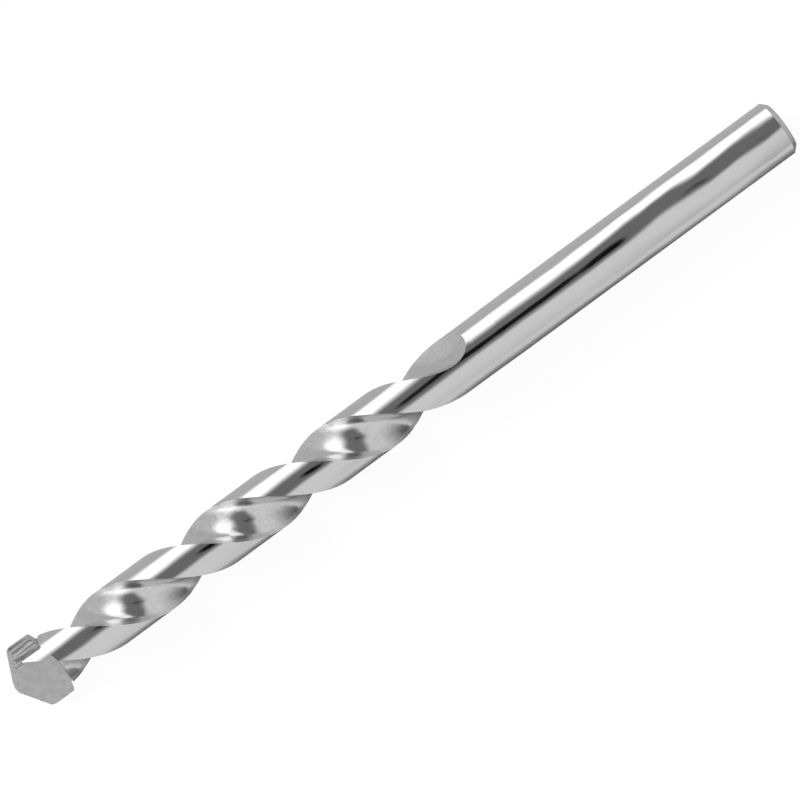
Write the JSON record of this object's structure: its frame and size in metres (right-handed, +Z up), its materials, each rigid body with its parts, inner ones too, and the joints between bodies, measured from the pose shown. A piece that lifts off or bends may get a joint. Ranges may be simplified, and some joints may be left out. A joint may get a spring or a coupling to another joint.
{
  "type": "masonry drill bit",
  "caption": "Straight-shank masonry drill bit: right-hand fluted steel bar with a carbide plate brazed across its nose.",
  "frame": {"origin": "on the ground under the middle of the bit's length, below its axis", "axes": "+X along the bit's axis from the drilling point to the shank's end, +Z up as the bit lies at rest on its side"},
  "size_m": [0.12, 0.0092, 0.0077],
  "materials": {
    "plated_steel": "bright plated, polished",
    "carbide": "fine ground, matte grey cemented carbide",
    "braze": "thin brazed seam, dull silver brass"
  },
  "bodies": {
    "root": {"steel_body": "plated_steel", "carbide_tip": "carbide", "braze_joint": "braze"}
  },
  "joints": []
}
